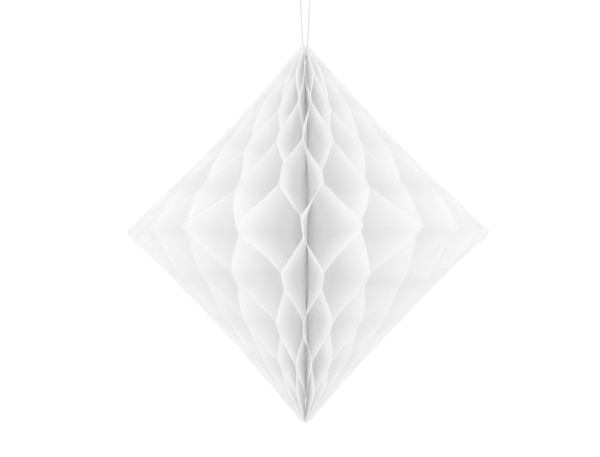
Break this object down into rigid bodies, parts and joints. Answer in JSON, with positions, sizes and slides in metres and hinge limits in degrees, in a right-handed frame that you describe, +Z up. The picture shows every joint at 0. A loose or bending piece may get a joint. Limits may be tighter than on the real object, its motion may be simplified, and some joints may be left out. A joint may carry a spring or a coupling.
{
  "type": "honeycomb paper diamond",
  "caption": "White tissue-paper honeycomb diamond: leaves glued on alternating lines and fanned round an upright spine, hung by a thread loop.",
  "frame": {"origin": "inside of the top of the hanging loop, the point that bears on a hook", "axes": "+Z up along the spine; -Y towards the viewer, where a glued joint of two leaves faces; the loop lies in the XZ plane"},
  "size_m": [0.2766, 0.2766, 0.3529],
  "materials": {
    "tissue_paper": "matte white tissue, lets light through",
    "thread": "matte white twisted thread"
  },
  "bodies": {
    "root": {"leaf_01": "tissue_paper", "leaf_02": "tissue_paper", "leaf_03": "tissue_paper", "leaf_04": "tissue_paper", "leaf_05": "tissue_paper", "leaf_06": "tissue_paper", "leaf_07": "tissue_paper", "leaf_08": "tissue_paper", "leaf_09": "tissue_paper", "leaf_10": "tissue_paper", "leaf_11": "tissue_paper", "leaf_12": "tissue_paper", "leaf_13": "tissue_paper", "leaf_14": "tissue_paper", "leaf_15": "tissue_paper", "leaf_16": "tissue_paper", "leaf_17": "tissue_paper", "leaf_18": "tissue_paper", "leaf_19": "tissue_paper", "leaf_20": "tissue_paper", "leaf_21": "tissue_paper", "leaf_22": "tissue_paper", "leaf_23": "tissue_paper", "leaf_24": "tissue_paper", "leaf_25": "tissue_paper", "leaf_26": "tissue_paper", "leaf_27": "tissue_paper", "leaf_28": "tissue_paper", "leaf_29": "tissue_paper", "leaf_30": "tissue_paper", "leaf_31": "tissue_paper", "leaf_32": "tissue_paper", "leaf_33": "tissue_paper", "leaf_34": "tissue_paper", "leaf_35": "tissue_paper", "leaf_36": "tissue_paper", "leaf_37": "tissue_paper", "leaf_38": "tissue_paper", "leaf_39": "tissue_paper", "leaf_40": "tissue_paper", "leaf_41": "tissue_paper", "leaf_42": "tissue_paper", "leaf_43": "tissue_paper", "leaf_44": "tissue_paper", "leaf_45": "tissue_paper", "leaf_46": "tissue_paper", "leaf_47": "tissue_paper", "leaf_48": "tissue_paper", "top_binding_thread": "thread", "bottom_binding_thread": "thread", "loop_knot": "thread", "hanging_loop": "thread"}
  },
  "joints": []
}
